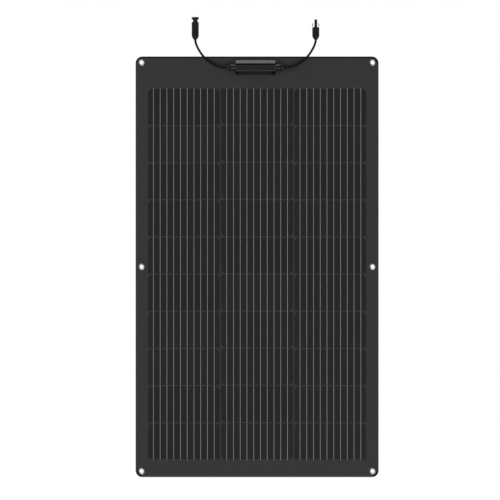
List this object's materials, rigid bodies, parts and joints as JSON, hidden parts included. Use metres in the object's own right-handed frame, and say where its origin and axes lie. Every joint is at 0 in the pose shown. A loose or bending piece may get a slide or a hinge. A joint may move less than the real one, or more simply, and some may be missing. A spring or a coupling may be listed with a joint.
{
  "type": "flexible solar sheet",
  "caption": "Thin flexible solar laminate of half-cut cell strings with metal eyelets, a low junction box and two short leads ending in latching single-pole couplers.",
  "frame": {"origin": "middle of the sheet on its back face", "axes": "+X across the sheet, +Y along it towards the junction box, +Z out of the front face"},
  "size_m": [0.61, 1.1547, 0.0203],
  "materials": {
    "back_laminate": "fine woven",
    "dark_encapsulant": "matt",
    "clear_encapsulant": "clear",
    "clear_film": "clear, finely textured",
    "silicon": "dark, satin",
    "tinned_copper": "satin",
    "black_bus": "matt black coat",
    "white_insulator": "matt",
    "eyelet_metal": "satin",
    "seal_rubber": "matt",
    "boot_rubber": "matt",
    "black_plastic": "satin",
    "nut_plastic": "satin",
    "coupler_plastic": "satin",
    "pale_plastic": "matt",
    "terminal_metal": "tinned",
    "diode_plastic": "matt",
    "cable_jacket": "matt",
    "bare_copper": "bare",
    "contact_metal": "tinned"
  },
  "bodies": {
    "sheet": {"back_sheet": "back_laminate", "rear_encapsulant": "dark_encapsulant", "front_encapsulant": "clear_encapsulant", "front_film": "clear_film", "left_cells": "silicon", "middle_cells": "silicon", "right_cells": "silicon", "left_ribbons": "tinned_copper", "middle_ribbons": "tinned_copper", "right_ribbons": "tinned_copper", "negative_bus": "black_bus", "foot_link": "black_bus", "head_link": "black_bus", "positive_bus": "black_bus", "return_insulator": "white_insulator", "eyelets": "eyelet_metal", "eyelet_washers": "eyelet_metal", "box_pad": "seal_rubber", "box_base": "black_plastic", "lid_gasket": "seal_rubber", "negative_terminal": "terminal_metal", "positive_terminal": "terminal_metal", "bypass_diode": "diode_plastic", "left_outlet_seal": "seal_rubber", "left_outlet_boot": "boot_rubber", "right_outlet_seal": "seal_rubber", "right_outlet_boot": "boot_rubber", "left_cable": "cable_jacket", "left_core": "bare_copper", "right_cable": "cable_jacket", "right_core": "bare_copper", "pin_shell": "coupler_plastic", "contact_pin": "contact_metal", "pin_cable_seal": "seal_rubber", "socket_body": "coupler_plastic", "contact_socket": "contact_metal", "probe_o_ring": "seal_rubber", "socket_cable_seal": "seal_rubber"},
    "lid": {"box_lid": "black_plastic"},
    "left_outlet_washer": {"left_slip_washer": "pale_plastic"},
    "left_outlet_nut": {"left_outlet_nut": "nut_plastic"},
    "right_outlet_washer": {"right_slip_washer": "pale_plastic"},
    "right_outlet_nut": {"right_outlet_nut": "nut_plastic"},
    "pin_ring": {"pin_clamp_ring": "pale_plastic"},
    "pin_nut": {"pin_coupler_nut": "nut_plastic"},
    "socket_ring": {"socket_clamp_ring": "pale_plastic"},
    "socket_nut": {"socket_coupler_nut": "nut_plastic"},
    "left_latch": {"left_finger": "coupler_plastic"},
    "right_latch": {"right_finger": "coupler_plastic"}
  },
  "joints": [
    {"name": "lid_lift", "type": "slide", "parent": "sheet", "child": "lid", "axis": [0, 0, 1], "range_m": [0, 0.04]},
    {"name": "left_outlet_loosen", "type": "slide", "parent": "sheet", "child": "left_outlet_washer", "axis": [-1, 0, 0], "range_m": [0, 0.003]},
    {"name": "left_outlet_turn", "type": "hinge", "parent": "left_outlet_washer", "child": "left_outlet_nut", "pos_m": [-0.062, 0.50075, 0.0116], "axis": [-1, 0, 0], "range_deg": [0, 720]},
    {"name": "right_outlet_loosen", "type": "slide", "parent": "sheet", "child": "right_outlet_washer", "axis": [1, 0, 0], "range_m": [0, 0.003]},
    {"name": "right_outlet_turn", "type": "hinge", "parent": "right_outlet_washer", "child": "right_outlet_nut", "pos_m": [0.054, 0.50075, 0.0116], "axis": [1, 0, 0], "range_deg": [0, 720]},
    {"name": "pin_clamp_loosen", "type": "slide", "parent": "sheet", "child": "pin_ring", "axis": [0, -1, 0], "range_m": [0, 0.003]},
    {"name": "pin_nut_turn", "type": "hinge", "parent": "pin_ring", "child": "pin_nut", "pos_m": [-0.15525, 0.582, 0.00915], "axis": [0, -1, 0], "range_deg": [0, 720]},
    {"name": "socket_clamp_loosen", "type": "slide", "parent": "sheet", "child": "socket_ring", "axis": [0, -1, 0], "range_m": [0, 0.003]},
    {"name": "socket_nut_turn", "type": "hinge", "parent": "socket_ring", "child": "socket_nut", "pos_m": [0.14725, 0.582, 0.00915], "axis": [0, -1, 0], "range_deg": [0, 720]},
    {"name": "left_latch_press", "type": "hinge", "parent": "sheet", "child": "left_latch", "pos_m": [0.14005, 0.5993, 0.00915], "axis": [0, 0, -1], "range_deg": [0, 8], "stiffness_Nm_per_rad": 0.05},
    {"name": "right_latch_press", "type": "hinge", "parent": "sheet", "child": "right_latch", "pos_m": [0.15445, 0.5993, 0.00915], "axis": [0, 0, 1], "range_deg": [0, 8], "stiffness_Nm_per_rad": 0.05}
  ],
  "couplings": [
    {"joint": "left_outlet_loosen", "follows": "left_outlet_turn", "m_per_rad": 0.0002387},
    {"joint": "right_outlet_loosen", "follows": "right_outlet_turn", "m_per_rad": 0.0002387},
    {"joint": "pin_clamp_loosen", "follows": "pin_nut_turn", "m_per_rad": 0.0002387},
    {"joint": "socket_clamp_loosen", "follows": "socket_nut_turn", "m_per_rad": 0.0002387}
  ]
}
